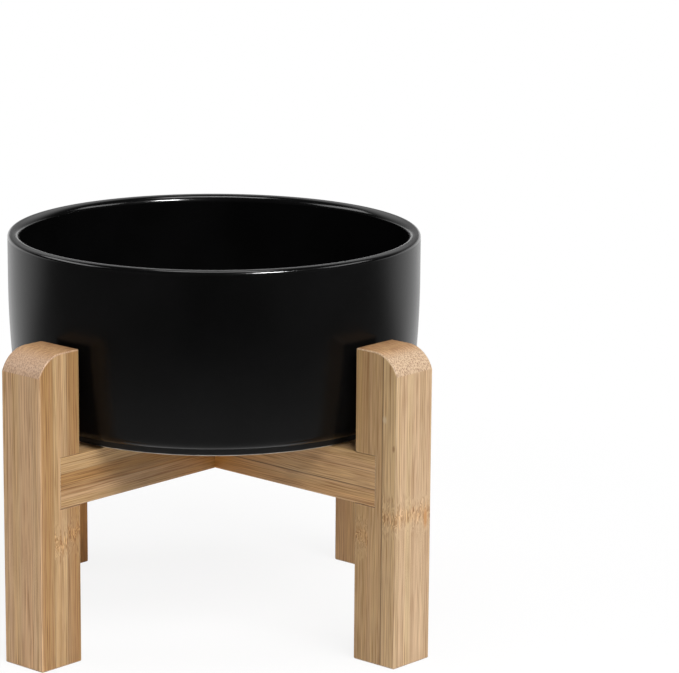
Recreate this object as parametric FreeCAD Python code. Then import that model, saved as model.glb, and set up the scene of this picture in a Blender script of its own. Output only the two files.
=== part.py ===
import FreeCAD, Part
import math
import os

from FreeCAD import Vector

os.makedirs("parts", exist_ok=True)

# Driving dimensions, in millimetres

# Bowl: a straight-sided ceramic bowl, turned about the vertical axis
BOWL_DIAMETER = 178.0
BOWL_HEIGHT = 80.0
BOWL_WALL = 5.4
RIM_ROUND = 1.9
RIM_INNER_ROUND = 3.2
STRAIGHT_WALL_HEIGHT = 20.0
WALL_SWEEP_RADIUS = 420.0
BASE_ROUND = 4.5
FLOOR_THICKNESS = 5.4
FLOOR_ROUND = 16.0
FOOT_HEIGHT = 3.5
FOOT_STEP = 1.6
FOOT_WIDTH = 5.5
FOOT_ROUND = 1.0
FOOT_RECESS_DEPTH = 2.2

# Stand: two rails crossed under the bowl, a leg on each rail end, rising past the bowl's seat
SEAT_HEIGHT = 90.2
LEG_SECTION = 22.6
LEG_RISE = 44.3
LEG_TOP_REACH = 12.7
LEG_TOP_DROP = 9.0
EDGE_EASE = 0.7
RAIL_HEIGHT = 22.0
RAIL_WIDTH = 22.6
RAIL_EASE = 0.7
HOUSING_DEPTH = 11.3

# Dowels: a pair, one above the other, in each joint of a rail and a leg
DOWEL_DIAMETER = 6.0
DOWEL_SPACING = 10.0
DOWEL_DEPTH_IN_RAIL = 16.0
DOWEL_DEPTH_IN_LEG = 7.0
DOWEL_CHAMFER = 0.6

# Clearances
BOWL_TO_LEG = 3.0
HOUSING_FIT = 0.1
LAP_FIT = 0.1
DOWEL_FIT = 0.05
DOWEL_END_ROOM = 0.5

# Places that follow from the sizes above
BOWL_RADIUS = BOWL_DIAMETER / 2
LEG_INNER = BOWL_RADIUS + BOWL_TO_LEG
LEG_OUTER = LEG_INNER + LEG_SECTION
LEG_HEIGHT = SEAT_HEIGHT + LEG_RISE
RAIL_END = LEG_INNER + HOUSING_DEPTH
RAIL_BOTTOM = SEAT_HEIGHT - RAIL_HEIGHT
RAIL_MIDDLE = SEAT_HEIGHT - RAIL_HEIGHT / 2

# The legs stand a quarter turn apart, counted round from the first one
CORNERS = ("rear_right", "rear_left", "front_left", "front_right")
FIRST_LEG_ANGLE = 45.0
LEG_ANGLE_STEP = 360.0 / len(CORNERS)

# Share of a wall's thickness that the roundings of its two edges may take
MOST_OF_WALL = 0.95

ORIGIN = Vector(0, 0, 0)
UP = Vector(0, 0, 1)
OUTWARD = Vector(1, 0, 0)


def point(out, height):
    """A point of the XZ plane: distance out from the axis, and height."""
    return Vector(out, 0, height)


def line(start, end):
    return Part.LineSegment(start, end).toShape()


def arc(center, radius, start_angle, end_angle):
    """An arc in the XZ plane, between two angles in degrees from +X towards +Z."""
    angles = (start_angle, (start_angle + end_angle) / 2, end_angle)
    turns = [math.radians(angle) for angle in angles]
    places = [center + point(radius * math.cos(turn), radius * math.sin(turn)) for turn in turns]
    return Part.Arc(*places).toShape()


def profile_face(edges):
    return Part.Face(Part.Wire(Part.__sortEdges__(edges)))


def inner_tangent_center(sweep_center, sweep_radius, radius, base_height):
    """Center of a circle that rests on base_height and touches the sweep from inside."""
    rise = base_height + radius - sweep_center.z
    reach = math.sqrt((sweep_radius - radius) ** 2 - rise ** 2)
    return point(sweep_center.x + reach, base_height + radius)


def edge_round(wanted, thickness):
    """The wanted rounding, or most of half the thickness where that is too thin for it."""
    return min(wanted, MOST_OF_WALL * thickness / 2)


def angle_from(center, place):
    return math.degrees(math.atan2(place.z - center.z, place.x - center.x))


def make_bowl():
    """The bowl as one turned profile: foot, swept wall, rounded rim and filleted floor."""
    radius = BOWL_RADIUS
    inner_radius = radius - BOWL_WALL
    rim_height = BOWL_HEIGHT
    rim_share = min(1.0, MOST_OF_WALL * BOWL_WALL / (RIM_ROUND + RIM_INNER_ROUND))
    rim_round = RIM_ROUND * rim_share
    inner_round = RIM_INNER_ROUND * rim_share
    sweep_top = BOWL_HEIGHT - STRAIGHT_WALL_HEIGHT
    floor_height = FOOT_RECESS_DEPTH + FLOOR_THICKNESS

    # The wall drops straight from the rim, then sweeps in on a long arc
    sweep_center = point(radius - WALL_SWEEP_RADIUS, sweep_top)
    inner_sweep = WALL_SWEEP_RADIUS - BOWL_WALL
    base_center = inner_tangent_center(sweep_center, WALL_SWEEP_RADIUS, BASE_ROUND, FOOT_HEIGHT)
    floor_center = inner_tangent_center(sweep_center, inner_sweep, FLOOR_ROUND, floor_height)
    base_angle = angle_from(sweep_center, base_center)
    floor_angle = angle_from(sweep_center, floor_center)

    foot_outer = base_center.x - FOOT_STEP
    foot_inner = foot_outer - FOOT_WIDTH
    foot_round = edge_round(FOOT_ROUND, FOOT_WIDTH)
    recess_round = edge_round(FOOT_ROUND, FOOT_RECESS_DEPTH)

    edges = [
        # Outside, from the rim down
        arc(point(radius - rim_round, rim_height - rim_round), rim_round, 90, 0),
        line(point(radius, rim_height - rim_round), point(radius, sweep_top)),
        arc(sweep_center, WALL_SWEEP_RADIUS, 0, base_angle),
        arc(base_center, BASE_ROUND, base_angle, -90),
        line(point(base_center.x, FOOT_HEIGHT), point(foot_outer, FOOT_HEIGHT)),
        # Foot ring and the recess inside it
        line(point(foot_outer, FOOT_HEIGHT), point(foot_outer, foot_round)),
        arc(point(foot_outer - foot_round, foot_round), foot_round, 0, -90),
        line(point(foot_outer - foot_round, 0), point(foot_inner + foot_round, 0)),
        arc(point(foot_inner + foot_round, foot_round), foot_round, -90, -180),
        line(point(foot_inner, foot_round), point(foot_inner, FOOT_RECESS_DEPTH - recess_round)),
        arc(point(foot_inner - recess_round, FOOT_RECESS_DEPTH - recess_round), recess_round, 0, 90),
        line(point(foot_inner - recess_round, FOOT_RECESS_DEPTH), point(0, FOOT_RECESS_DEPTH)),
        # Inside, from the floor up
        line(point(0, FOOT_RECESS_DEPTH), point(0, floor_height)),
        line(point(0, floor_height), point(floor_center.x, floor_height)),
        arc(floor_center, FLOOR_ROUND, -90, floor_angle),
        arc(sweep_center, inner_sweep, floor_angle, 0),
        line(point(inner_radius, sweep_top), point(inner_radius, rim_height - inner_round)),
        arc(point(inner_radius + inner_round, rim_height - inner_round), inner_round, 180, 90),
        line(point(inner_radius + inner_round, rim_height), point(radius - rim_round, rim_height)),
    ]
    bowl = profile_face(edges).revolve(ORIGIN, UP, 360)
    bowl.translate(UP * SEAT_HEIGHT)
    return bowl


def dowel_heights():
    return (RAIL_MIDDLE - DOWEL_SPACING / 2, RAIL_MIDDLE + DOWEL_SPACING / 2)


def make_dowel_holes():
    """The bores of one joint, through the meeting face of the rail end and its leg."""
    bore_start = RAIL_END - DOWEL_DEPTH_IN_RAIL
    bore_length = DOWEL_DEPTH_IN_RAIL + DOWEL_DEPTH_IN_LEG
    bore_radius = DOWEL_DIAMETER / 2 + DOWEL_FIT
    bores = [Part.makeCylinder(bore_radius, bore_length, point(bore_start, height), OUTWARD)
             for height in dowel_heights()]
    return Part.makeCompound(bores)


def make_dowels():
    """The pair of dowels of one joint, with chamfered ends."""
    start = RAIL_END - DOWEL_DEPTH_IN_RAIL + DOWEL_END_ROOM
    length = DOWEL_DEPTH_IN_RAIL + DOWEL_DEPTH_IN_LEG - 2 * DOWEL_END_ROOM
    dowels = []
    for height in dowel_heights():
        dowel = Part.makeCylinder(DOWEL_DIAMETER / 2, length, point(start, height), OUTWARD)
        ends = [edge for edge in dowel.Edges if edge.Closed]
        dowels.append(dowel.makeChamfer(DOWEL_CHAMFER, ends))
    return Part.makeCompound(dowels)


def is_top_join(edge, reach, drop):
    """True for the two cross edges where the curved top meets the flat top and the outer face."""
    center = edge.BoundBox.Center
    across = edge.BoundBox.YLength > LEG_SECTION / 2
    at_face = abs(center.x - LEG_OUTER) < EDGE_EASE and abs(center.z - LEG_HEIGHT + drop) < EDGE_EASE
    at_top = abs(center.x - LEG_OUTER + reach) < EDGE_EASE and abs(center.z - LEG_HEIGHT) < EDGE_EASE
    return across and (at_face or at_top)


def make_leg():
    """A square post along +X: top curved down to the outer face, a rail housing in its inner face."""
    reach = min(LEG_TOP_REACH, LEG_SECTION - 2 * EDGE_EASE)
    drop = min(LEG_TOP_DROP, reach)
    top_radius = (reach ** 2 + drop ** 2) / (2 * drop)
    top_center = point(LEG_OUTER - reach, LEG_HEIGHT - top_radius)
    end_angle = angle_from(top_center, point(LEG_OUTER, LEG_HEIGHT - drop))
    half = LEG_SECTION / 2
    side = profile_face([
        line(point(LEG_INNER, 0), point(LEG_OUTER, 0)),
        line(point(LEG_OUTER, 0), point(LEG_OUTER, LEG_HEIGHT - drop)),
        arc(top_center, top_radius, end_angle, 90),
        line(point(LEG_OUTER - reach, LEG_HEIGHT), point(LEG_INNER, LEG_HEIGHT)),
        line(point(LEG_INNER, LEG_HEIGHT), point(LEG_INNER, 0)),
    ])
    side.translate(Vector(0, -half, 0))
    post = side.extrude(Vector(0, LEG_SECTION, 0))
    eased = [edge for edge in post.Edges if not is_top_join(edge, reach, drop)]
    post = post.makeFillet(EDGE_EASE, eased)
    housing = Part.makeBox(
        HOUSING_DEPTH + LEG_SECTION,
        2 * LEG_SECTION,
        RAIL_HEIGHT + 2 * HOUSING_FIT,
        Vector(LEG_INNER - LEG_SECTION, -LEG_SECTION, RAIL_BOTTOM - HOUSING_FIT),
    )
    return post.cut(housing).cut(make_dowel_holes())


def make_rail(lap_bottom, lap_top):
    """A rail along X with eased edges, a lap cut at its middle and dowel bores in both ends."""
    bar = Part.makeBox(
        2 * RAIL_END, RAIL_WIDTH, RAIL_HEIGHT, Vector(-RAIL_END, -RAIL_WIDTH / 2, RAIL_BOTTOM)
    )
    long_edges = [edge for edge in bar.Edges if edge.BoundBox.XLength > RAIL_END]
    bar = bar.makeFillet(RAIL_EASE, long_edges)
    lap_width = RAIL_WIDTH + 2 * LAP_FIT
    lap = Part.makeBox(
        lap_width, 2 * RAIL_WIDTH, lap_top - lap_bottom, Vector(-lap_width / 2, -RAIL_WIDTH, lap_bottom)
    )
    near_bores = make_dowel_holes()
    far_bores = make_dowel_holes()
    far_bores.rotate(ORIGIN, UP, 180)
    return bar.cut(lap).cut(near_bores).cut(far_bores)


def headed(shape, heading):
    """A copy of a shape made along +X, turned to its heading about the vertical axis."""
    turned = shape.copy()
    turned.rotate(ORIGIN, UP, heading)
    return turned


# The upper rail's lap opens downward and the lower rail's upward, and they meet at mid-height
upper_rail = make_rail(RAIL_BOTTOM - RAIL_HEIGHT, RAIL_MIDDLE)
lower_rail = make_rail(RAIL_MIDDLE, SEAT_HEIGHT + RAIL_HEIGHT)

nodes = {
    "bowl": make_bowl(),
    "upper_rail": headed(upper_rail, FIRST_LEG_ANGLE),
    "lower_rail": headed(lower_rail, FIRST_LEG_ANGLE + LEG_ANGLE_STEP),
}
for turn, corner in enumerate(CORNERS):
    heading = FIRST_LEG_ANGLE + turn * LEG_ANGLE_STEP
    nodes[corner + "_leg"] = headed(make_leg(), heading)
    nodes[corner + "_dowels"] = headed(make_dowels(), heading)

for name, shape in nodes.items():
    shape.exportStep("parts/" + name + ".step")
    print(name, "solids", len(shape.Solids), "valid", shape.isValid(), "cm3", round(shape.Volume / 1000, 2))
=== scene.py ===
"""Looks of an elevated pet bowl: a satin black ceramic bowl on a stand of laminated bamboo."""

import math

import bmesh
import bpy
from mathutils import Matrix, Vector


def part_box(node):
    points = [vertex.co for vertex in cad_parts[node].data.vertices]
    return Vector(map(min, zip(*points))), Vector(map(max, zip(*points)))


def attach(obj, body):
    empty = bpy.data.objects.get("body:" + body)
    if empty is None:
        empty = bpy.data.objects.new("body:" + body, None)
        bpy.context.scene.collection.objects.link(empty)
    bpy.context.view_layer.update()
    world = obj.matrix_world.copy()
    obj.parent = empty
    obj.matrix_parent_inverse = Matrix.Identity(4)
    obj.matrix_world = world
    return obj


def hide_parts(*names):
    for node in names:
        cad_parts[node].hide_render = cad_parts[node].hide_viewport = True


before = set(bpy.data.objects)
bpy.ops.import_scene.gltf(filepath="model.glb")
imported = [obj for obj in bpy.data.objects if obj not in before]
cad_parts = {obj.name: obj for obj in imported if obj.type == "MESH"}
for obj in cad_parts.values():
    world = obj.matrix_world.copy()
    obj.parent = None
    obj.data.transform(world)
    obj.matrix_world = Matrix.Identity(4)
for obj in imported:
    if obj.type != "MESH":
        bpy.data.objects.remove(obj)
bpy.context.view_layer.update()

# Units: every length is in metres, and MM turns millimetres into metres
MM = 0.001

# Camera, at the photograph's viewing angle: angles in degrees, the lens in millimetres
CAMERA_PLACE = Vector((-25.5 * MM, -1404.5 * MM, 440.8 * MM))
CAMERA_HEADING = 3.254
CAMERA_DIP = 12.738
CAMERA_ROLL = 0.4735
CAMERA_LENS = 175.63

# Bowl sizes that the frame's box does not give
BOWL_WALL = 5.4 * MM
RIM_ROUND = 1.9 * MM
RIM_INNER_ROUND = 3.2 * MM
STRAIGHT_WALL_HEIGHT = 20.0 * MM
WALL_SWEEP_RADIUS = 420.0 * MM
BASE_ROUND = 4.5 * MM
FLOOR_THICKNESS = 5.4 * MM
FLOOR_ROUND = 16.0 * MM
FOOT_HEIGHT = 3.5 * MM
FOOT_STEP = 1.6 * MM
FOOT_WIDTH = 5.5 * MM
FOOT_ROUND = 1.0 * MM
FOOT_RECESS_DEPTH = 2.2 * MM

# Stand sizes that the frame's boxes do not give
LEG_SECTION = 22.6 * MM
LEG_TOP_REACH = 12.7 * MM
LEG_TOP_DROP = 9.0 * MM
LEG_EASE = 0.7 * MM
RAIL_WIDTH = 22.6 * MM
RAIL_EASE = 0.7 * MM
HOUSING_DEPTH = 11.3 * MM
HOUSING_FIT = 0.1 * MM
LAP_FIT = 0.1 * MM
JOINT_GROOVE = 0.14 * MM
DOWEL_BORE = 6.1 * MM
DOWEL_SPACING = 10.0 * MM
DOWEL_DEPTH_IN_RAIL = 16.0 * MM
DOWEL_DEPTH_IN_LEG = 7.0 * MM
DOWEL_BORE_LENGTH = DOWEL_DEPTH_IN_RAIL + DOWEL_DEPTH_IN_LEG
STRIPS_PER_PIECE = 3

# Mesh fineness: counts of steps, and the step of a round arc in degrees
BOWL_SEGMENTS = 256
SWEEP_STEPS = 20
STRAIGHT_STEPS = 7
FLAT_STEPS = 9
EASE_STEPS = 8
BORE_SEGMENTS = 32
ARC_STEP = 7.5

# Welding of points, and smooth shading
WELD_REACH = 0.002 * MM
SMOOTH_ANGLE = math.radians(15)
FLAT_FACE_WEIGHT = 100

# Places that the frame gives
bowl_low, bowl_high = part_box("bowl")
rail_low, rail_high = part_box("upper_rail")
leg_low, leg_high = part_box("front_left_leg")
BOWL_RADIUS = (bowl_high.x - bowl_low.x) / 2
BOWL_HEIGHT = bowl_high.z - bowl_low.z
SEAT_HEIGHT = bowl_low.z
RAIL_BOTTOM = rail_low.z
RAIL_TOP = rail_high.z
RAIL_MIDDLE = (RAIL_BOTTOM + RAIL_TOP) / 2
RAIL_END = rail_high.x * math.sqrt(2) - RAIL_WIDTH / 2
LEG_INNER = RAIL_END - HOUSING_DEPTH
LEG_OUTER = LEG_INNER + LEG_SECTION
LEG_HEIGHT = leg_high.z

# Bowl sizes that follow, with heights from its seat
SWEEP_TOP = BOWL_HEIGHT - STRAIGHT_WALL_HEIGHT
SWEEP_CENTER = Vector((BOWL_RADIUS - WALL_SWEEP_RADIUS, SWEEP_TOP))
RIM_LOW = BOWL_HEIGHT - RIM_ROUND
RIM_INNER_LOW = BOWL_HEIGHT - RIM_INNER_ROUND
INNER_RADIUS = BOWL_RADIUS - BOWL_WALL
INNER_SWEEP_RADIUS = WALL_SWEEP_RADIUS - BOWL_WALL
INNER_FLOOR_HEIGHT = FOOT_RECESS_DEPTH + FLOOR_THICKNESS

# Headings, in degrees about the vertical axis
LEG_HEADINGS = {"rear_right": 45, "rear_left": 135, "front_left": 225, "front_right": 315}
RAIL_HEADINGS = {"upper_rail": 45, "lower_rail": 135}


# Outlines and meshes


def arc_points(center, radius, start, end, count=None):
    """Points of an arc in a plane, between two angles in degrees, both ends included.

    A long flat arc takes a count of steps, because its angle is too small for ARC_STEP.
    """
    if count is None:
        count = max(2, math.ceil(abs(end - start) / ARC_STEP))
    angles = [math.radians(start + (end - start) * step / count) for step in range(count + 1)]
    return [Vector((center[0] + radius * math.cos(a), center[1] + radius * math.sin(a))) for a in angles]


def new_object(name, bm):
    """A new object in the scene from a mesh, with its faces turned outwards."""
    mesh = bpy.data.meshes.new(name)
    bmesh.ops.recalc_face_normals(bm, faces=bm.faces)
    bm.to_mesh(mesh)
    bm.free()
    piece = bpy.data.objects.new(name, mesh)
    bpy.context.scene.collection.objects.link(piece)
    return piece


def join_rows(bm, rows):
    """Faces between closed rows with as many points each, as one band for each pair of rows."""
    bands = []
    for row, after in zip(rows, rows[1:]):
        band = []
        for i in range(len(row)):
            j = (i + 1) % len(row)
            band.append(bm.faces.new((row[i], row[j], after[j], after[i])))
        bands.append(band)
    return bands


def weld(bm):
    """Joins points that fall together, and drops the edges and faces that this leaves empty."""
    bmesh.ops.remove_doubles(bm, verts=bm.verts, dist=WELD_REACH)
    bmesh.ops.dissolve_degenerate(bm, edges=bm.edges, dist=WELD_REACH)


def skin(rings):
    """A closed mesh over a row of rings with as many points each, capped at both ends."""
    bm = bmesh.new()
    rows = [[bm.verts.new(place) for place in ring] for ring in rings]
    join_rows(bm, rows)
    bm.faces.new(rows[0])
    bm.faces.new(rows[-1])
    weld(bm)
    return bm


def drill(piece, bores):
    """Cuts round bores along X into a piece: each is a start, a length and a height."""
    for start, length, height in bores:
        bm = bmesh.new()
        place = Matrix.Translation((start + length / 2, 0, height)) @ Matrix.Rotation(math.pi / 2, 4, "Y")
        bmesh.ops.create_cone(
            bm, cap_ends=True, segments=BORE_SEGMENTS, radius1=DOWEL_BORE / 2, radius2=DOWEL_BORE / 2,
            depth=length, matrix=place,
        )
        cutter = new_object("bore", bm)
        cut = piece.modifiers.new("bore", "BOOLEAN")
        cut.operation = "DIFFERENCE"
        cut.solver = "EXACT"
        cut.object = cutter
        bpy.context.view_layer.update()
        result = bpy.data.meshes.new_from_object(piece.evaluated_get(bpy.context.evaluated_depsgraph_get()))
        piece.modifiers.clear()
        piece.data = result
        bpy.data.objects.remove(cutter)


def smooth(piece):
    """Smooth shading with crisp edges kept, weighted so that flat faces stay flat."""
    mesh = piece.data
    mesh.polygons.foreach_set("use_smooth", [True] * len(mesh.polygons))
    mesh.set_sharp_from_angle(angle=SMOOTH_ANGLE)
    normals = piece.modifiers.new("flat_faces", "WEIGHTED_NORMAL")
    normals.keep_sharp = True
    normals.weight = FLAT_FACE_WEIGHT


def turn(piece, heading):
    """Turns a piece's mesh about the vertical axis, from along X to a heading in degrees."""
    piece.data.transform(Matrix.Rotation(math.radians(heading), 4, "Z"))


def store_grain(piece, along, through, across):
    """Keeps grain coordinates on the mesh: along the fibre, through the strips, and across them."""
    grain = piece.data.attributes.new("grain", "FLOAT_VECTOR", "POINT")
    for vertex, value in zip(piece.data.vertices, grain.data):
        value.vector = (along(vertex.co), through(vertex.co), across(vertex.co))


# Bowl


def inner_tangent_center(sweep_center, sweep_radius, radius, base_height):
    """Center of a circle that rests on base_height and touches the sweep from inside."""
    rise = base_height + radius - sweep_center[1]
    reach = math.sqrt((sweep_radius - radius) ** 2 - rise ** 2)
    return Vector((sweep_center[0] + reach, base_height + radius))


def angle_from(center, place):
    """Angle in degrees at which a place lies from a center."""
    return math.degrees(math.atan2(place[1] - center[1], place[0] - center[0]))


def bowl_outside():
    """The turned outline of the outside, from the middle of the underside up to the rim."""
    base_center = inner_tangent_center(SWEEP_CENTER, WALL_SWEEP_RADIUS, BASE_ROUND, FOOT_HEIGHT)
    base_angle = angle_from(SWEEP_CENTER, base_center)
    foot_outer = base_center.x - FOOT_STEP
    foot_inner = foot_outer - FOOT_WIDTH
    recess = foot_inner - FOOT_ROUND
    points = [Vector((recess * step / FLAT_STEPS, FOOT_RECESS_DEPTH)) for step in range(FLAT_STEPS)]
    points += arc_points((recess, FOOT_RECESS_DEPTH - FOOT_ROUND), FOOT_ROUND, 90, 0)
    points += arc_points((foot_inner + FOOT_ROUND, FOOT_ROUND), FOOT_ROUND, 180, 270)
    points += arc_points((foot_outer - FOOT_ROUND, FOOT_ROUND), FOOT_ROUND, 270, 360)
    points.append(Vector((foot_outer, FOOT_HEIGHT)))
    points += arc_points(base_center, BASE_ROUND, -90, base_angle)
    points += arc_points(SWEEP_CENTER, WALL_SWEEP_RADIUS, base_angle, 0, SWEEP_STEPS)
    for step in range(1, STRAIGHT_STEPS):
        height = SWEEP_TOP + (RIM_LOW - SWEEP_TOP) * step / STRAIGHT_STEPS
        points.append(Vector((BOWL_RADIUS, height)))
    return points


def bowl_inside():
    """The turned outline of the rim and the inside, down to the middle of the floor."""
    floor_center = inner_tangent_center(SWEEP_CENTER, INNER_SWEEP_RADIUS, FLOOR_ROUND, INNER_FLOOR_HEIGHT)
    floor_angle = angle_from(SWEEP_CENTER, floor_center)
    points = arc_points((BOWL_RADIUS - RIM_ROUND, RIM_LOW), RIM_ROUND, 0, 90)
    points += arc_points((INNER_RADIUS + RIM_INNER_ROUND, RIM_INNER_LOW), RIM_INNER_ROUND, 90, 180)
    for step in range(1, STRAIGHT_STEPS):
        height = RIM_INNER_LOW - (RIM_INNER_LOW - SWEEP_TOP) * step / STRAIGHT_STEPS
        points.append(Vector((INNER_RADIUS, height)))
    points += arc_points(SWEEP_CENTER, INNER_SWEEP_RADIUS, 0, floor_angle, SWEEP_STEPS)
    points += arc_points(floor_center, FLOOR_ROUND, floor_angle, -90)
    for step in reversed(range(FLAT_STEPS)):
        points.append(Vector((floor_center.x * step / FLAT_STEPS, INNER_FLOOR_HEIGHT)))
    return points


# Numbers of the bowl's two materials: one for the rim and the inside, and one for the outside
RIM_GLAZE = 0
WALL_GLAZE = 1


def make_bowl():
    """The bowl, turned from its outline, with each face's material by the side that it is on."""
    outside = bowl_outside()
    bm = bmesh.new()
    rows = []
    for out, height in outside + bowl_inside():
        row = []
        for step in range(BOWL_SEGMENTS):
            turned = 2 * math.pi * step / BOWL_SEGMENTS
            row.append(bm.verts.new((out * math.cos(turned), out * math.sin(turned), SEAT_HEIGHT + height)))
        rows.append(row)
    for number, band in enumerate(join_rows(bm, rows)):
        for face in band:
            face.material_index = WALL_GLAZE if number < len(outside) else RIM_GLAZE
    weld(bm)
    piece = new_object("bowl_glazed", bm)
    smooth(piece)
    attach(piece, "bowl")
    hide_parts("bowl")
    return piece


# Stand


def leg_outline():
    """The leg's side outline: points, each with the ways that easing and the joint groove move it."""
    top = RAIL_TOP + HOUSING_FIT
    bottom = RAIL_BOTTOM - HOUSING_FIT
    back = LEG_INNER + HOUSING_DEPTH
    top_radius = (LEG_TOP_REACH ** 2 + LEG_TOP_DROP ** 2) / (2 * LEG_TOP_DROP)
    top_center = Vector((LEG_OUTER - LEG_TOP_REACH, LEG_HEIGHT - top_radius))
    top_start = angle_from(top_center, (LEG_OUTER, LEG_HEIGHT - LEG_TOP_DROP))
    curves = [
        ((LEG_INNER + LEG_EASE, LEG_EASE), LEG_EASE, 180, 270),
        ((LEG_OUTER - LEG_EASE, LEG_EASE), LEG_EASE, 270, 360),
        (top_center, top_radius, top_start, 90),
        ((LEG_INNER + LEG_EASE, LEG_HEIGHT - LEG_EASE), LEG_EASE, 90, 180),
    ]
    still = Vector((0, 0))
    rows = []
    for center, radius, start, end in curves:
        for place in arc_points(center, radius, start, end):
            rows.append((place, (Vector(center) - place).normalized(), still))
    # The outer face and the top's curve meet in a corner, which eases along its mitre
    corner = next(i for i, row in enumerate(rows) if row[0].y > LEG_HEIGHT / 2)
    half_turn = math.radians(top_start / 2)
    mitre = Vector((-math.cos(half_turn), -math.sin(half_turn))) / math.cos(half_turn)
    rows[corner] = (rows[corner][0], mitre, still)
    # The housing for the rail's end
    inward = Vector((1, 0))
    rows.append((Vector((LEG_INNER, top)), inward, Vector((0, 1))))
    rows.append((Vector((back, top)), still, Vector((1, 1))))
    rows.append((Vector((back, bottom)), still, Vector((1, -1))))
    rows.append((Vector((LEG_INNER, bottom)), inward, Vector((0, -1))))
    return rows


def eased_stations(half_width, ease):
    """Places across a piece, each with how far its outline draws in there, from one face to the other."""
    stations = []
    for step in range(EASE_STEPS + 1):
        a = math.pi / 2 * step / EASE_STEPS
        stations.append((ease * (1 - math.cos(a)) - half_width, ease * (1 - math.sin(a))))
    return stations + [(-place, inset) for place, inset in reversed(stations)]


def make_leg(corner):
    """A leg, made along X and turned to its corner, with its housing and dowel bores."""
    half = LEG_SECTION / 2
    outline = leg_outline()
    rings = []
    for across, inset in eased_stations(half, LEG_EASE):
        groove = max(0.0, JOINT_GROOVE - (half - abs(across)))
        places = [place + ease * inset + opened * groove for place, ease, opened in outline]
        rings.append([Vector((place.x, across, place.y)) for place in places])
    piece = new_object(corner + "_leg_bamboo", skin(rings))
    bore_start = RAIL_END - DOWEL_DEPTH_IN_RAIL
    drill(piece, [(bore_start, DOWEL_BORE_LENGTH, height) for height in dowel_heights()])
    store_grain(piece, lambda p: p.z, lambda p: p.x - LEG_INNER, lambda p: p.y)
    turn(piece, LEG_HEADINGS[corner])
    smooth(piece)
    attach(piece, "stand")
    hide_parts(corner + "_leg")
    return piece


def dowel_heights():
    """Heights of the two dowels in each joint."""
    return (RAIL_MIDDLE - DOWEL_SPACING / 2, RAIL_MIDDLE + DOWEL_SPACING / 2)


def rail_section(inset):
    """The rail's rounded section, drawn in by inset, as points across and up."""
    half = RAIL_WIDTH / 2 - RAIL_EASE
    low = RAIL_BOTTOM + RAIL_EASE
    high = RAIL_TOP - RAIL_EASE
    radius = RAIL_EASE - inset
    points = arc_points((half, low), radius, 270, 360)
    points += arc_points((half, high), radius, 0, 90)
    points += arc_points((-half, high), radius, 90, 180)
    points += arc_points((-half, low), radius, 180, 270)
    return points


def make_rail(name, lap_opens_up):
    """A rail, made along X and turned to its heading, with its half lap and dowel bores."""
    lap = RAIL_WIDTH / 2 + LAP_FIT
    # Places along the rail, how far the section draws in there, and whether the lap is cut there
    stations = [
        (-RAIL_END, JOINT_GROOVE, False), (JOINT_GROOVE - RAIL_END, 0, False),
        (-lap, 0, False), (-lap, 0, True), (lap, 0, True), (lap, 0, False),
        (RAIL_END - JOINT_GROOVE, 0, False), (RAIL_END, JOINT_GROOVE, False),
    ]
    rings = []
    for along, inset, lapped in stations:
        ring = []
        for across, height in rail_section(inset):
            if lapped:
                height = min(height, RAIL_MIDDLE) if lap_opens_up else max(height, RAIL_MIDDLE)
            ring.append(Vector((along, across, height)))
        rings.append(ring)
    piece = new_object(name + "_bamboo", skin(rings))
    starts = (RAIL_END - DOWEL_DEPTH_IN_RAIL, DOWEL_DEPTH_IN_RAIL - RAIL_END - DOWEL_BORE_LENGTH)
    drill(piece, [(start, DOWEL_BORE_LENGTH, height) for start in starts for height in dowel_heights()])
    store_grain(piece, lambda p: p.x, lambda p: p.z - RAIL_BOTTOM, lambda p: p.y)
    turn(piece, RAIL_HEADINGS[name])
    smooth(piece)
    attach(piece, "stand")
    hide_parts(name)
    return piece


# Materials

# The value that noise varies around
NOISE_MIDDLE = 0.5


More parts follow.
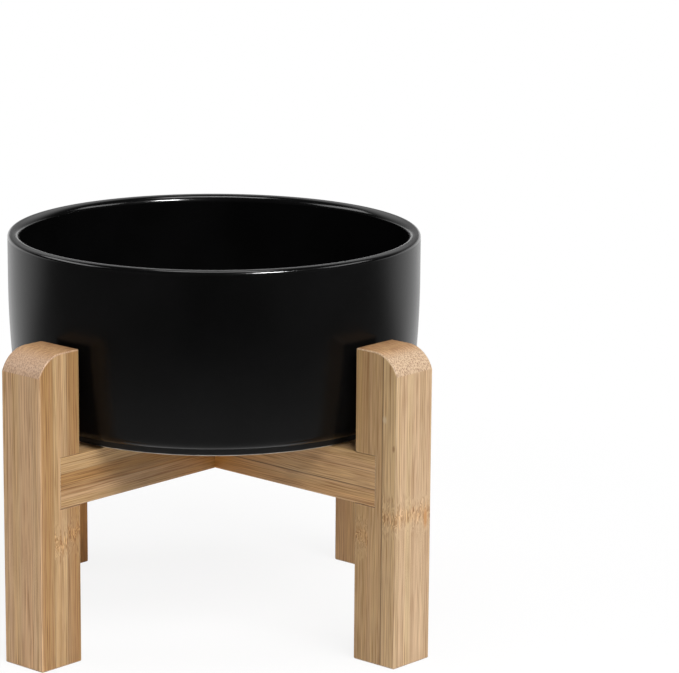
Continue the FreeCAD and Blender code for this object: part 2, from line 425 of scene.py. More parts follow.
class Graph:
    """A node tree, with short calls for the nodes used here."""

    def __init__(self, tree):
        self.tree = tree
        tree.nodes.clear()

    def node(self, kind, settings=None, inputs=None):
        """A new node, with its settings by name and its inputs by name or number."""
        made = self.tree.nodes.new(kind)
        for name, value in (settings or {}).items():
            setattr(made, name, value)
        for name, value in (inputs or {}).items():
            self.set(made.inputs[name], value)
        return made

    def set(self, socket, value):
        """Links another node's output to a socket, or sets a constant on it."""
        if isinstance(value, bpy.types.NodeSocket):
            self.tree.links.new(value, socket)
        else:
            socket.default_value = value

    def math(self, operation, first, second=0.0, third=0.0):
        inputs = {0: first, 1: second, 2: third}
        return self.node("ShaderNodeMath", {"operation": operation}, inputs).outputs[0]

    def centered(self, noise):
        """Noise that varies around zero."""
        return self.math("SUBTRACT", noise, NOISE_MIDDLE)

    def equals(self, value, number):
        """1 where a whole value is this number, and 0 elsewhere."""
        return self.math("COMPARE", value, number, 0.5)

    def between(self, factor, first, second):
        """A number that goes from first to second as factor goes from 0 to 1."""
        return self.math("MULTIPLY_ADD", self.math("SUBTRACT", second, first), factor, first)

    def spread(self, value, from_low, from_high, to_low=0.0, to_high=1.0):
        """A smooth step of value between two limits."""
        inputs = {
            "Value": value, "From Min": from_low, "From Max": from_high,
            "To Min": to_low, "To Max": to_high,
        }
        return self.node("ShaderNodeMapRange", {"interpolation_type": "SMOOTHSTEP"}, inputs).outputs["Result"]

    def vector_math(self, operation, *vectors):
        """Outputs of a vector calculation: Vector, or Value where it gives a number."""
        return self.node("ShaderNodeVectorMath", {"operation": operation}, dict(enumerate(vectors))).outputs

    def scaled(self, vector, factors, offset=(0, 0, 0)):
        return self.vector_math("MULTIPLY_ADD", vector, factors, offset)["Vector"]

    def combined(self, x, y, z):
        return self.node("ShaderNodeCombineXYZ", None, {"X": x, "Y": y, "Z": z}).outputs[0]

    def separated(self, vector):
        return self.node("ShaderNodeSeparateXYZ", None, {0: vector}).outputs

    def noise(self, vector, scale=1.0, detail=2.0, roughness=0.5):
        inputs = {"Vector": vector, "Scale": scale, "Detail": detail, "Roughness": roughness}
        return self.node("ShaderNodeTexNoise", None, inputs).outputs["Fac"]

    def cells(self, vector, dimensions="3D", randomness=1.0):
        """Distance to the nearest of scattered points, and a random value for each point's cell."""
        inputs = {"Vector": vector, "Scale": 1.0, "Randomness": randomness}
        made = self.node("ShaderNodeTexVoronoi", {"feature": "F1", "voronoi_dimensions": dimensions}, inputs)
        return made.outputs["Distance"], made.outputs["Color"]

    def mix(self, factor, first, second, blend="MIX"):
        """A mix of two colours, by the sockets that the mix node has for colours."""
        settings = {"data_type": "RGBA", "blend_type": blend}
        return self.node("ShaderNodeMix", settings, {0: factor, 6: first, 7: second}).outputs[2]

    def times(self, first, second):
        """Two colours multiplied."""
        return self.mix(1.0, first, second, "MULTIPLY")

    def seen(self, rays):
        """1 for what the camera sees, straight or through a piece, and 0 for light and reflections."""
        return self.math("MAXIMUM", rays["Is Camera Ray"], rays["Is Transmission Ray"])


class Finish(Graph):
    """A material: a node tree around one Principled shader."""

    def __init__(self, name):
        self.material = bpy.data.materials.new(name)
        self.material.use_nodes = True
        super().__init__(self.material.node_tree)
        self.shader = self.node("ShaderNodeBsdfPrincipled")
        self.output = self.node("ShaderNodeOutputMaterial", None, {"Surface": self.shader.outputs["BSDF"]})

    def bump(self, height, strength, distance):
        inputs = {"Height": height, "Strength": strength, "Distance": distance}
        self.set(self.shader.inputs["Normal"], self.node("ShaderNodeBump", None, inputs).outputs["Normal"])


def color(red, green, blue):
    return (red, green, blue, 1.0)


WHITE = color(1.0, 1.0, 1.0)

# Bamboo colours
BAMBOO_PALE = color(0.59, 0.41, 0.245)
BAMBOO_TAN = color(0.465, 0.29, 0.135)
BAMBOO_ORANGE = color(0.5, 0.228, 0.05)
BAMBOO_STREAK = color(0.27, 0.14, 0.052)
BAMBOO_LINE = color(0.11, 0.055, 0.022)
END_GRAIN_PALE = color(0.565, 0.41, 0.27)
END_GRAIN_ROSE = color(0.52, 0.34, 0.215)
END_GRAIN_DARK = color(0.24, 0.13, 0.07)
END_GRAIN_TAN = color(0.5, 0.302, 0.15)
STAIN_PALE = color(0.6, 0.47, 0.3)
KNOT_ORANGE = color(0.5, 0.24, 0.08)

# Factors that a bamboo colour is multiplied by
FIBRE_DARK = color(0.63, 0.52, 0.39)
FIBRE_LIGHT = color(1.25, 1.28, 1.28)
BLUSH_STRAW = color(0.99, 1.01, 0.965)
BLUSH_ROSE = color(1.01, 0.995, 1.015)
MOTTLE_AND_SHADE_DARK = color(0.6, 0.5, 0.42)

# Lengths in the bamboo's pattern are in millimetres, and so are the section and the depth of a strip here
STOCK = LEG_SECTION / MM
STRIP = STOCK / STRIPS_PER_PIECE

# How far apart in the noise the strips, and the pieces, start
STRIP_SHIFT = 37.0
SEED_SHIFT = 91.0

# How far the fibres wander and how they swirl at a culm node, each with its length and width
WANDER = 1.8
WANDER_LENGTH = 70.0
WANDER_WIDTH = 9.0
WANDER_IN_DEPTH = 0.6
SWIRL = 5.0
SWIRL_LENGTH = 5.0
SWIRL_WIDTH = 3.2
SWIRL_IN_DEPTH = 0.3

# Lines drawn out along the fibres: their length and width, where in the noise they start, and its detail
FINE_LINES = {"length": 48.0, "width": 0.33}
SHORT_LINES = {"length": 11.0, "width": 0.34, "offset": (3.0, 1.0, 8.0)}
MIDDLE_LINES = {"length": 60.0, "width": 1.5, "offset": (5.0, 3.0, 1.0), "detail": 2.0}
BROAD_LINES = {"length": 220.0, "width": 5.5, "offset": (0.0, 9.0, 4.0), "detail": 1.0}
BLUSH_LINES = {"length": 300.0, "width": 4.0, "offset": (7.0, 2.0, 3.0), "detail": 1.0}
NODE_LINES = {"length": 9.0, "width": 0.45, "offset": (2.0, 7.0, 5.0)}
SHORT_SHARE = 0.45
FIGURE_SHARE = 0.7
FIBRE_REACH = 0.3
NODE_STROKE_REACH = 0.14

# Smooth steps: where each starts and where it is full, and then its two values where they aren't 0 and 1
OUTER_FACE = (STOCK - 1.0, STOCK - 0.2)
STREAK_TO_TAN = (-0.6, -0.05)
TAN_TO_PALE = (-0.25, 0.5)
WARM_LINES = (0.7, 0.3, 0.5, 1.0)
WARM_FACE = (0.0, 1.0, 1.0, 0.85)
# Painted warm shade: how far from a rail's middle the orange of the bowl's shade reaches, in millimetres
PAINTED_SHADE_WARMTH_REACH = (60.0, 12.0)
BLUSH_STEP = (0.35, 0.65)
MARK_FADE = (1.0, 0.3)
FIBRE_ROUGHNESS = (0.3, 0.7, 0.52, 0.40)

# Dashes, as cells drawn out along the fibres
DASH_LENGTH = 9.0
DASH_WIDTH = 0.7
DASH_OFFSET = (5.0, 3.0, 1.0)
DASH_REACH = (0.36, 0.1)
DASH_CHOICE = (0.45, 0.75)

# Culm nodes: a pale zone, and in it a ragged crown
NODE_REACH = (12.0, 2.0)
NODE_PALE = 0.12
CROWN_REACH = (4.2, 1.4)
CROWN_RAGGED = 14.0
CROWN_RAGGED_WIDTH = 0.9
CROWN_ORANGE = 0.18

# Glue lines, which are strong in some stretches
GLUE_REACH = (0.34, 0.12)
GLUE_STRETCH = 28.0
GLUE_PATCHES = (0.3, 0.6, 0.55, 1.0)

# Cut ends, by how far the surface faces along the grain: mottling, dots, and painted shade on the inner side
CUT_END = (0.16, 0.3)
FLAT_END = (0.8, 1.0)
MOTTLE_DEPTH = 5.0
MOTTLE_WIDTH = 0.9
MOTTLE_STEP = (0.56, 0.4)
MOTTLE_BY_FLAT = (0.0, 1.0, 0.15, 0.9)
# Painted shade on a flat end's inner side, beside the bowl: where it starts and is full, and how dark
SHADED_INNER_SIDE = (9.0, 1.0)
PAINTED_INNER_SHADE = 0.6
DOT_SPACING = 0.7
DOT_SCATTER = 0.85
DOT_REACH = (0.48, 0.15)
DOT_BY_FLAT = (0.0, 1.0, 1.0, 0.3)
DOT_SHADES = (0.2, 0.8, 0.6, 1.0)

# Arrises, which a painted highlight makes paler
ARRIS_START = 0.9
ARRIS_FULL = 0.2
SIDE_ARRIS = (STOCK / 2 - ARRIS_START, STOCK / 2 - ARRIS_FULL)
INNER_ARRIS = (ARRIS_START, ARRIS_FULL)
OUTER_ARRIS = (STOCK - ARRIS_START, STOCK - ARRIS_FULL)
ARRIS_HIGHLIGHT = 0.12

# Relief of bare or lacquered wood
WOOD_BUMP = 0.2
WOOD_RELIEF = 0.05 * MM


class Bamboo(Finish):
    """Laminated bamboo: three strips, each with its own tone, fibre lines and culm node.

    The pattern is drawn in the grain coordinates that the mesh keeps, in millimetres.
    """

    def __init__(self, name, axis, look):
        super().__init__(name)
        self.look = look
        self.axis = axis
        self.find_strips()
        self.find_fibres()
        tint = self.fibre_tint()
        tint = self.add_dashes(tint)
        tint = self.add_nodes(tint)
        tint = self.add_glue_lines(tint)
        for mark in look["marks"]:
            tint = self.add_mark(tint, *mark)
        tint = self.add_cut_ends(tint)
        tint = self.paint_arris_highlights(tint)
        self.set(self.shader.inputs["Base Color"], tint)
        self.set(self.shader.inputs["Roughness"], self.spread(self.fine, *FIBRE_ROUGHNESS))
        hollows = self.math("ADD", self.dashes, self.crown)
        self.bump(self.math("SUBTRACT", self.fine, hollows), WOOD_BUMP, WOOD_RELIEF)

    def find_strips(self):
        """Where a point lies in the piece, in which strip, and how near that strip's culm node is."""
        grain = self.node("ShaderNodeAttribute", {"attribute_name": "grain"}).outputs["Vector"]
        self.place = self.scaled(grain, (1 / MM, 1 / MM, 1 / MM))
        self.along, self.through, self.across = self.separated(self.place)
        depth = self.math("MAXIMUM", self.through, 0.0)
        strip = self.math("FLOOR", self.math("DIVIDE", depth, STRIP))
        self.first = self.equals(strip, 0.0)
        self.second = self.equals(strip, 1.0)
        self.third = self.math("SUBTRACT", 1.0, self.math("ADD", self.first, self.second))
        self.outer = self.spread(self.through, *OUTER_FACE)
        # Each strip is its own piece of culm, so its pattern starts elsewhere
        self.shift = self.math("MULTIPLY_ADD", strip, STRIP_SHIFT, self.look["seed"] * SEED_SHIFT)
        self.node_gap = self.math("SUBTRACT", self.along, self.per_strip("nodes_at"))
        self.node_zone = self.spread(self.math("ABSOLUTE", self.node_gap), *NODE_REACH)

    def per_strip(self, name):
        """The look's value for the strip that a point lies in."""
        values = self.look[name]
        total = self.math("MULTIPLY", self.first, values[0])
        total = self.math("MULTIPLY_ADD", self.second, values[1], total)
        return self.math("MULTIPLY_ADD", self.third, values[2], total)

    def find_fibres(self):
        """Fibre coordinates, which wander slowly along the piece and swirl where a node crosses."""
        slow = self.noise(self.stretched(WANDER_LENGTH, WANDER_WIDTH, self.shift), detail=1.0)
        depth = self.math("MULTIPLY_ADD", self.through, SWIRL_IN_DEPTH, self.shift)
        swirl = self.noise(self.stretched(SWIRL_LENGTH, SWIRL_WIDTH, depth), detail=1.0)
        swirled = self.math("MULTIPLY", self.centered(swirl), self.node_zone)
        drift = self.math("MULTIPLY", self.centered(slow), WANDER)
        drift = self.math("MULTIPLY_ADD", swirled, SWIRL, drift)
        bent_across = self.math("ADD", self.across, drift)
        bent_through = self.math("MULTIPLY_ADD", drift, WANDER_IN_DEPTH, self.through)
        self.fibre = self.combined(self.math("ADD", self.along, self.shift), bent_through, bent_across)
        short = self.centered(self.lines(**SHORT_LINES))
        self.fine = self.math("MULTIPLY_ADD", short, SHORT_SHARE, self.lines(**FINE_LINES))
        self.middle = self.lines(**MIDDLE_LINES)
        self.broad = self.lines(**BROAD_LINES)

    def stretched(self, length, width, depth):
        """Noise coordinates with a length along the piece and a width across it."""
        along = self.math("DIVIDE", self.along, length)
        across = self.math("DIVIDE", self.across, width)
        return self.combined(along, across, depth)

    def lines(self, length, width, offset=(0, 0, 0), detail=0.0):
        """Noise drawn out along the fibres."""
        return self.noise(self.scaled(self.fibre, (1 / length, 1 / width, 1 / width), offset), detail=detail)

    def fibre_tint(self):
        """Broad and middling lines make the tone, and fine ones darken or lighten it."""
        figure = FIGURE_SHARE * self.look["figure"]
        shade = self.math("MULTIPLY_ADD", self.centered(self.middle), figure, self.per_strip("lifts"))
        shade = self.math("MULTIPLY_ADD", self.centered(self.broad), figure, shade)
        shade = self.math("MULTIPLY_ADD", self.outer, self.look["face_lift"], shade)
        tint = self.mix(self.spread(shade, *STREAK_TO_TAN), BAMBOO_STREAK, BAMBOO_TAN)
        tint = self.mix(self.spread(shade, *TAN_TO_PALE), tint, BAMBOO_PALE)
        tint = self.mix(self.warmth_and_painted_shade(), tint, BAMBOO_ORANGE)
        blush = self.mix(self.spread(self.lines(**BLUSH_LINES), *BLUSH_STEP), BLUSH_STRAW, BLUSH_ROSE)
        tint = self.stroke(self.times(tint, blush), self.fine, FIBRE_REACH, 1.0)
        face_tone = self.spread(self.outer, 0.0, 1.0, 1.0, self.look["face_tone"])
        tone = self.math("MULTIPLY", self.per_strip("tones"), face_tone)
        return self.times(tint, self.combined(tone, tone, tone))

    def warmth_and_painted_shade(self):
        """How orange a point is: by strip and broad lines, plus painted warm shade at a rail's middle."""
        painted_warm_shade = self.spread(self.math("ABSOLUTE", self.along), *PAINTED_SHADE_WARMTH_REACH, 0.0, self.look["painted_shade_warmth"])
        warm = self.math("MULTIPLY", self.per_strip("warmth"), self.spread(self.broad, *WARM_LINES))
        warm = self.math("MULTIPLY", warm, self.spread(self.outer, *WARM_FACE))
        return self.math("ADD", warm, painted_warm_shade)

    def stroke(self, tint, lines, reach, strength):
        """Darkens a tint where the lines are low and lightens it where they are high."""
        low = self.math("MULTIPLY", self.spread(lines, NOISE_MIDDLE, NOISE_MIDDLE - reach), strength)
        high = self.math("MULTIPLY", self.spread(lines, NOISE_MIDDLE, NOISE_MIDDLE + reach), strength)
        tint = self.mix(low, tint, self.times(tint, FIBRE_DARK))
        return self.mix(high, tint, self.times(tint, FIBRE_LIGHT))

    def add_dashes(self, tint):
        """Short dark dashes where a bundle surfaces."""
        factors = (1 / DASH_LENGTH, 1 / DASH_WIDTH, 1 / DASH_WIDTH)
        gap, shade = self.cells(self.scaled(self.fibre, factors, DASH_OFFSET))
        self.dashes = self.math("MULTIPLY", self.spread(gap, *DASH_REACH), self.spread(shade, *DASH_CHOICE))
        return self.mix(self.math("MULTIPLY", self.dashes, self.look["dashes"]), tint, BAMBOO_STREAK)

    def add_nodes(self, tint):
        """Culm nodes: a ragged band of short crisp strokes, light and dark, in a warm ground."""
        through = self.math("DIVIDE", self.through, CROWN_RAGGED_WIDTH)
        across = self.math("DIVIDE", self.across, CROWN_RAGGED_WIDTH)
        ragged = self.noise(self.combined(self.shift, through, across), detail=1.0)
        gap = self.math("MULTIPLY_ADD", self.centered(ragged), CROWN_RAGGED, self.node_gap)
        self.crown = self.spread(self.math("ABSOLUTE", gap), *CROWN_REACH)
        tint = self.mix(self.math("MULTIPLY", self.node_zone, NODE_PALE), tint, BAMBOO_PALE)
        tint = self.mix(self.math("MULTIPLY", self.crown, CROWN_ORANGE), tint, BAMBOO_ORANGE)
        return self.stroke(tint, self.lines(**NODE_LINES), NODE_STROKE_REACH, self.crown)

    def add_glue_lines(self, tint):
        """Glue lines between the strips, darker in some stretches than in others."""
        along = self.math("DIVIDE", self.along, GLUE_STRETCH)
        stretch = self.noise(self.combined(along, self.shift, 0.0))
        patchy = self.spread(stretch, *GLUE_PATCHES)
        for line, strength in enumerate(self.look["glue"], start=1):
            gap = self.math("ABSOLUTE", self.math("SUBTRACT", self.through, line * STRIP))
            shade = self.math("MULTIPLY", self.spread(gap, *GLUE_REACH), strength)
            tint = self.mix(self.math("MULTIPLY", shade, patchy), tint, BAMBOO_LINE)
        return tint

    def add_mark(self, tint, center, reach, shade, strength):
        """A small stain or knot, at a place in the grain and with a reach along, through and across it."""
        gap = self.vector_math("SUBTRACT", self.place, center)["Vector"]
        near = self.vector_math("DIVIDE", gap, reach)["Vector"]
        away = self.vector_math("LENGTH", near)["Value"]
        return self.mix(self.spread(away, *MARK_FADE, 0.0, strength), tint, shade)

    def add_cut_ends(self, tint):
        """Cut ends show the bundles as dots in a paler, mottled ground."""
        normal = self.node("ShaderNodeTexCoord").outputs["Normal"]
        facing = self.math("ABSOLUTE", self.vector_math("DOT_PRODUCT", normal, self.axis)["Value"])
        flat = self.spread(facing, *FLAT_END)
        ground = self.mottle_and_painted_shade(self.mix(flat, self.look["end_grain"], END_GRAIN_TAN), flat)
        ground = self.mix(self.end_dots(flat), ground, END_GRAIN_DARK)
        return self.mix(self.spread(facing, *CUT_END), tint, ground)

    def mottle_and_painted_shade(self, ground, flat):
        """Darker patches in a cut end, and painted shade on the inner side, beside the bowl, where the end is
        flat.
        """
        through = self.math("DIVIDE", self.through, MOTTLE_DEPTH)
        across = self.math("DIVIDE", self.across, MOTTLE_WIDTH)
        noise = self.noise(self.combined(through, across, self.shift), detail=3.0, roughness=0.7)
        patches = self.math("MULTIPLY", self.spread(noise, *MOTTLE_STEP), self.spread(flat, *MOTTLE_BY_FLAT))
        ground = self.mix(patches, ground, self.times(ground, MOTTLE_AND_SHADE_DARK))
        # Painted shade: a flat end darkens towards its inner side, next to the bowl
        inner = self.math("MULTIPLY", self.spread(self.through, *SHADED_INNER_SIDE), flat)
        inner = self.math("MULTIPLY", inner, PAINTED_INNER_SHADE)
        return self.mix(inner, ground, self.times(ground, MOTTLE_AND_SHADE_DARK))

    def end_dots(self, flat):
        """The bundles in a cut end, fainter where the end is flat."""
        through = self.math("DIVIDE", self.through, DOT_SPACING)
        across = self.math("DIVIDE", self.across, DOT_SPACING)
        gap, shade = self.cells(self.combined(through, across, 0.0), "2D", DOT_SCATTER)
        dots = self.math("MULTIPLY", self.spread(gap, *DOT_REACH), self.spread(flat, *DOT_BY_FLAT))
        dots = self.math("MULTIPLY", dots, self.spread(shade, *DOT_SHADES))
        return self.math("MULTIPLY", dots, self.look["dots"])

    def paint_arris_highlights(self, tint):
        """Arrises are a little paler: a painted highlight along the eased edges."""
        side = self.spread(self.math("ABSOLUTE", self.across), *SIDE_ARRIS)
        inner = self.spread(self.through, *INNER_ARRIS)
        outer = self.spread(self.through, *OUTER_ARRIS)
        arris_highlight = self.math("MULTIPLY", side, self.math("MAXIMUM", inner, outer))
        return self.mix(self.math("MULTIPLY", arris_highlight, ARRIS_HIGHLIGHT), tint, BAMBOO_PALE)


# The glaze is glossier on the rim and inside than on the outside
RIM_ROUGHNESS = 0.15
RIM_IOR = 1.5
WALL_ROUGHNESS = 0.24
WALL_IOR = 1.28

# Clouds in the glaze, grit in the clay and the ragged edge of the glaze, as noise in repeats per metre
CLOUD_SCALE = 38.0
CLOUD_STEP = (0.3, 0.7)
CLOUD_ROUGHNESS = 0.05
GRIT_SCALE = 1500.0
RAGGED_SCALE = 260.0
RAGGED_REACH = 0.35 * MM
BARE_EDGE = (SEAT_HEIGHT + 0.5 * MM, SEAT_HEIGHT + 0.3 * MM)
THIN_EDGE = (SEAT_HEIGHT + FOOT_HEIGHT, SEAT_HEIGHT + FOOT_HEIGHT - 0.7 * MM)
CLAY_ROUGHER = 0.6
GLAZE_DEEP = color(0.0018, 0.0018, 0.0018)
GLAZE_CLOUD = color(0.0026, 0.0026, 0.0027)
GLAZE_THIN = color(0.02, 0.02, 0.02)
CLAY_DARK = color(0.42, 0.38, 0.33)
CLAY_PALE = color(0.56, 0.52, 0.46)


def glaze_material(name, roughness, ior):
    """Satin black glaze, a little uneven, bare clay where the foot ring was wiped clean."""
    g = Finish(name)
    place = g.node("ShaderNodeTexCoord").outputs["Object"]
    height = g.separated(place)["Z"]
    cloud = g.noise(place, CLOUD_SCALE)
    grit = g.noise(place, GRIT_SCALE, detail=1.0)
    ragged = g.math("MULTIPLY_ADD", g.centered(g.noise(place, RAGGED_SCALE)), RAGGED_REACH, height)
    bare = g.spread(ragged, *BARE_EDGE)
    thin = g.spread(ragged, *THIN_EDGE)
    tint = g.mix(g.spread(cloud, *CLOUD_STEP), GLAZE_DEEP, GLAZE_CLOUD)
    tint = g.mix(thin, tint, GLAZE_THIN)
    clay = g.mix(grit, CLAY_DARK, CLAY_PALE)
    g.set(g.shader.inputs["Base Color"], g.mix(bare, tint, clay))
    rough = g.math("MULTIPLY_ADD", g.centered(cloud), CLOUD_ROUGHNESS, roughness)
    g.set(g.shader.inputs["Roughness"], g.math("MULTIPLY_ADD", bare, CLAY_ROUGHER, rough))
    g.shader.inputs["IOR"].default_value = ior
    return g.material


# Dowel wood, with its flecks in repeats per metre
DOWEL_PALE = color(0.66, 0.48, 0.29)
DOWEL_DARK = color(0.52, 0.34, 0.18)
FLECK_SCALE = (900.0, 900.0, 2400.0)
FLECK_STEP = (0.35, 0.7)
FLECK_ROUGHER = 0.2
DOWEL_ROUGHNESS = 0.5


def dowel_material():
    """Plain birch dowel, straight grained with short dark flecks."""
    g = Finish("dowel_wood")
    place = g.node("ShaderNodeTexCoord").outputs["Object"]
    fleck = g.noise(g.scaled(place, FLECK_SCALE))
    tint = g.mix(g.spread(fleck, *FLECK_STEP), DOWEL_PALE, DOWEL_DARK)
    g.set(g.shader.inputs["Base Color"], tint)
    g.set(g.shader.inputs["Roughness"], g.math("MULTIPLY_ADD", fleck, FLECK_ROUGHER, DOWEL_ROUGHNESS))
    g.bump(fleck, WOOD_BUMP, WOOD_RELIEF)
    return g.material


def dress(piece, *materials):
    """Gives a piece its materials, in the order of their numbers."""
    # Clearing also resets the faces' material numbers, so a mesh with no material is left as it is
    if piece.data.materials:
        piece.data.materials.clear()
    for material in materials:
        piece.data.materials.append(material)


# Stains and knots on the front right leg: the place in the grain, the reach, the colour and the strength
FRONT_RIGHT_MARKS = (
    ((106.5, 16.2, -11.3), (2.2, 1.5, 1.5), STAIN_PALE, 0.7),
    ((95.0, 21.2, -11.3), (2.0, 0.9, 1.2), BAMBOO_STREAK, 0.8),
    ((62.0, 22.6, 7.8), (6.0, 1.6, 1.6), KNOT_ORANGE, 0.85),
)

# A strip with no culm node has it beyond the end of the piece
NO_NODE = 300

# Looks of each piece, by strip: a leg's from the bowl outwards, and a rail's from below upwards.
# nodes_at: where along the grain the strip's culm node lies
# lifts, tones, warmth: the strip's shade between streak and pale, its brightness, and its share of orange
# glue: the strength of each glue line
# figure, dashes, dots: the strength of the lines, of the dashes, and of the dots in a cut end
# face_tone, face_lift: the brightness and the shade of the outer face
# painted_shade_warmth: the share of orange at the middle of a rail, a painted warm shade under the bowl
LEG_LOOKS = {
    "front_left": {
        "seed": 1, "nodes_at": (56, 54, NO_NODE), "lifts": (-0.05, 0.05, 0.0),
        "tones": (0.72, 0.9, 0.76), "warmth": (0.6, 0.15, 0.5), "glue": (0.3, 0.3),
        "figure": 0.5, "dashes": 0.4, "face_tone": 1.28, "face_lift": 0.58, "painted_shade_warmth": 0.0,
        "end_grain": END_GRAIN_ROSE, "dots": 0.85, "marks": (),
    },
    "front_right": {
        "seed": 2, "nodes_at": (54, NO_NODE, 65), "lifts": (0.0, 0.0, 0.1),
        "tones": (0.9, 0.92, 1.02), "warmth": (0.25, 0.15, 0.06), "glue": (0.25, 1.0),
        "figure": 0.25, "dashes": 0.26, "face_tone": 0.865, "face_lift": 0.32, "painted_shade_warmth": 0.0,
        "end_grain": END_GRAIN_PALE, "dots": 1.0, "marks": FRONT_RIGHT_MARKS,
    },
    # The rear legs' raised tones and warmth, strongest on the rear left, are painted warm bounce light in the
    # bowl's shade
    "rear_left": {
        "seed": 3, "nodes_at": (70, 110, 100), "lifts": (0.0, 0.0, 0.05),
        "tones": (1.3, 1.3, 1.25), "warmth": (1.5, 1.4, 0.95), "glue": (0.4, 0.3),
        "figure": 0.8, "dashes": 0.4, "face_tone": 1.0, "face_lift": 0.2, "painted_shade_warmth": 0.0,
        "end_grain": END_GRAIN_ROSE, "dots": 0.7, "marks": (),
    },
    "rear_right": {
        "seed": 4, "nodes_at": (118, 30, 96), "lifts": (0.05, 0.0, 0.0),
        "tones": (1.08, 1.08, 1.06), "warmth": (0.26, 0.22, 0.3), "glue": (0.3, 0.5),
        "figure": 0.4, "dashes": 0.2, "face_tone": 1.0, "face_lift": 0.2, "painted_shade_warmth": 0.0,
        "end_grain": END_GRAIN_PALE, "dots": 0.8, "marks": (),
    },
}
RAIL_LOOKS = {
    "upper_rail": {
        "seed": 5, "nodes_at": (52, 20, NO_NODE), "lifts": (0.08, -0.15, 0.12),
        "tones": (0.88, 0.72, 0.88), "warmth": (0.22, 0.7, 0.3), "glue": (0.3, 0.3),
        "figure": 0.75, "dashes": 0.4, "face_tone": 1.0, "face_lift": 0.0, "painted_shade_warmth": 0.74,
        "end_grain": END_GRAIN_PALE, "dots": 0.8, "marks": (),
    },
    "lower_rail": {
        "seed": 6, "nodes_at": (48, 36, 84), "lifts": (0.0, 0.0, 0.05),
        "tones": (1.0, 1.0, 1.0), "warmth": (0.35, 0.35, 0.2), "glue": (0.85, 0.35),
        "figure": 0.55, "dashes": 0.4, "face_tone": 1.0, "face_lift": 0.0, "painted_shade_warmth": 0.74,
        "end_grain": END_GRAIN_PALE, "dots": 0.8, "marks": (),
    },
}
UPRIGHT = (0.0, 0.0, 1.0)


def heading_axis(heading):
    """The level direction of a heading."""
    return (math.cos(math.radians(heading)), math.sin(math.radians(heading)), 0.0)


def make_object():
    """The bowl, legs and rails as finer pieces, and the dowels as the frame has them, all with materials."""
    rim_glaze = glaze_material("glaze_rim", RIM_ROUGHNESS, RIM_IOR)
    wall_glaze = glaze_material("glaze_wall", WALL_ROUGHNESS, WALL_IOR)
    dress(make_bowl(), rim_glaze, wall_glaze)
    for corner, look in LEG_LOOKS.items():
        dress(make_leg(corner), Bamboo(corner + "_bamboo", UPRIGHT, look).material)
    for name, look in RAIL_LOOKS.items():
        axis = heading_axis(RAIL_HEADINGS[name])
        dress(make_rail(name, name == "lower_rail"), Bamboo(name + "_bamboo", axis, look).material)
    wood = dowel_material()
    for corner in LEG_HEADINGS:
        dress(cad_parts[corner + "_dowels"], wood)


# Studio

STAGE_SIZE = 14.0
STAGE_CELLS = 8
STAGE_COLOR = color(0.88, 0.88, 0.88)
STAGE_ROUGHNESS = 0.9

# How white the camera sees the floor, by the distance from the object's middle
STAGE_WHITE = (0.1, 0.4, 0.88, 1.0)

# How bright the floor is in gloss: near the object, away from it, more at the sides, and white behind it
GLOSS_NEAR = 0.68
GLOSS_FRONT = 0.01
GLOSS_SIDE = 0.16
POOL_REACH = (0.15, 0.6, GLOSS_NEAR, GLOSS_FRONT)
SIDE_REACH = (0.2, 0.6, 0.0, GLOSS_SIDE)
BEHIND_REACH = (0.04, 0.4)

# The world's light on the object, and how bright it is in gloss away from the backdrop
AMBIENT = 0.21
GLOSS_DARK = 0.025

# The backdrop in gloss, by direction: it is behind, it ends below the ceiling, it brightens with height,
# and it has a bright foot
BACKDROP_BEHIND = (0.25, 0.75)
BACKDROP_TOP = (1.0, 0.8)
BACKDROP_RISE = (0.2, 0.65, 0.34, 0.9)
BACKDROP_FOOT = (0.16, 0.04)


def stage_gloss(g, place, away):
    """How bright the floor is in gloss."""
    parts = g.separated(place)
    sides = g.spread(g.math("ABSOLUTE", parts["X"]), *SIDE_REACH)
    pool = g.math("ADD", g.spread(away, *POOL_REACH), sides)
    return g.math("MAXIMUM", pool, g.spread(parts["Y"], *BEHIND_REACH))


def make_floor():
    """A plain pale floor, white to the camera away from the object, and dim in gloss at the front."""
    bm = bmesh.new()
    bmesh.ops.create_grid(bm, x_segments=STAGE_CELLS, y_segments=STAGE_CELLS, size=STAGE_SIZE / 2)
    floor = new_object("floor", bm)
    g = Finish("floor")
    g.set(g.shader.inputs["Base Color"], STAGE_COLOR)
    g.set(g.shader.inputs["Roughness"], STAGE_ROUGHNESS)
    g.set(g.shader.inputs["Specular IOR Level"], 0.0)
    place = g.node("ShaderNodeTexCoord").outputs["Object"]
    away = g.vector_math("LENGTH", place)["Value"]
    rays = g.node("ShaderNodeLightPath").outputs
    strength = g.between(rays["Is Glossy Ray"], 1.0, stage_gloss(g, place, away))
    white = g.math("MULTIPLY", g.seen(rays), g.spread(away, *STAGE_WHITE))
    share = g.math("MAXIMUM", rays["Is Glossy Ray"], white)
    glow = g.node("ShaderNodeEmission", None, {"Color": WHITE, "Strength": strength})
    blend = g.node("ShaderNodeMixShader", None, {0: share, 1: g.shader.outputs[0], 2: glow.outputs[0]})
    g.set(g.output.inputs["Surface"], blend.outputs[0])
    dress(floor, g.material)


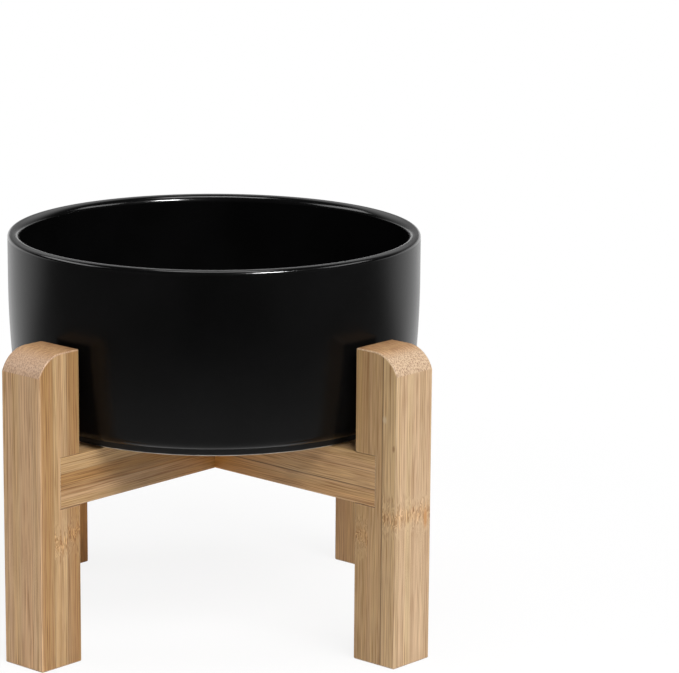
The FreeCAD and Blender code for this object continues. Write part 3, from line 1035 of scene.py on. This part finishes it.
def make_world():
    """An even soft light, with a white backdrop that the camera and the gloss see behind the object."""
    world = bpy.data.worlds.new("studio")
    bpy.context.scene.world = world
    world.use_nodes = True
    g = Graph(world.node_tree)
    parts = g.separated(g.node("ShaderNodeTexCoord").outputs["Generated"])
    rays = g.node("ShaderNodeLightPath").outputs
    behind = g.spread(parts["Y"], *BACKDROP_BEHIND)
    wall = g.math("MULTIPLY", behind, g.spread(parts["Z"], *BACKDROP_TOP))
    wall = g.math("MULTIPLY", wall, g.spread(parts["Z"], *BACKDROP_RISE))
    foot = g.math("MULTIPLY", behind, g.spread(parts["Z"], *BACKDROP_FOOT))
    gloss = g.spread(g.math("MAXIMUM", wall, foot), 0.0, 1.0, GLOSS_DARK, 1.0)
    strength = g.between(rays["Is Glossy Ray"], AMBIENT, gloss)
    strength = g.between(g.seen(rays), strength, 1.0)
    sky = g.node("ShaderNodeBackground", None, {"Color": WHITE, "Strength": strength})
    g.node("ShaderNodeOutputWorld", None, {"Surface": sky.outputs[0]})


# Lamps, aimed at the middle of the object: angles and spread in degrees, power in watts.
# The key light is two lamps: a wide one that only shades, and a small spark that only gives highlights.
LOOK_AT = Vector((0, 0, 0.09))
SOFTBOXES = {
    "key": {
        "azimuth": 30, "elevation": 46, "distance": 1.5, "width": 1.0, "height": 0.45,
        "power": 9.0, "spread": 120, "lights": "shade",
    },
    "spark": {
        "azimuth": 31, "elevation": 38, "distance": 1.5, "width": 0.36, "height": 0.11,
        "power": 4.8, "spread": 90, "lights": "gloss",
    },
    "top": {
        "azimuth": 0, "elevation": 87, "distance": 1.2, "width": 0.7, "height": 0.3,
        "power": 2.2, "spread": 140, "lights": "all",
    },
    "left": {
        "azimuth": -95, "elevation": 34, "distance": 1.6, "width": 1.1, "height": 0.5,
        "power": 2.5, "spread": 120, "lights": "all",
    },
    "right": {
        "azimuth": 82, "elevation": 34, "distance": 1.6, "width": 0.8, "height": 0.4,
        "power": 1.4, "spread": 120, "lights": "all",
    },
}


def make_softbox(name, azimuth, elevation, distance, width, height, power, spread, lights):
    """A soft light aimed at the object: azimuth runs from the front to the right.

    It lights for shade only, for gloss only, or for all.
    """
    turned = math.radians(azimuth)
    raised = math.radians(elevation)
    level = math.cos(raised)
    back = Vector((math.sin(turned) * level, -math.cos(turned) * level, math.sin(raised)))
    lamp = bpy.data.lights.new(name, "AREA")
    lamp.shape = "RECTANGLE"
    lamp.size = width
    lamp.size_y = height
    lamp.energy = power
    lamp.spread = math.radians(spread)
    light = bpy.data.objects.new(name, lamp)
    light.visible_diffuse = lights != "gloss"
    light.visible_glossy = lights != "shade"
    light.location = LOOK_AT + back * distance
    light.rotation_mode = "QUATERNION"
    light.rotation_quaternion = (-back).to_track_quat("-Z", "Y")
    bpy.context.scene.collection.objects.link(light)


def make_camera():
    """The camera, turned by its heading from +Y towards +X, then dipped and rolled."""
    heading = math.radians(CAMERA_HEADING)
    dip = math.radians(CAMERA_DIP)
    roll = math.radians(CAMERA_ROLL)
    forward = Vector((math.sin(heading) * math.cos(dip), math.cos(heading) * math.cos(dip), -math.sin(dip)))
    level = forward.cross(Vector((0, 0, 1))).normalized()
    up = level.cross(forward)
    right = level * math.cos(roll) + up * math.sin(roll)
    up = right.cross(forward)
    lens = bpy.data.cameras.new("camera")
    lens.lens = CAMERA_LENS
    camera = bpy.data.objects.new("camera", lens)
    axes = Matrix((right, up, -forward)).transposed().to_4x4()
    camera.matrix_world = Matrix.Translation(CAMERA_PLACE) @ axes
    bpy.context.scene.collection.objects.link(camera)
    bpy.context.scene.camera = camera


make_object()
make_floor()
make_world()
for name, softbox in SOFTBOXES.items():
    make_softbox(name, **softbox)
make_camera()
bpy.context.scene.view_settings.view_transform = "Standard"
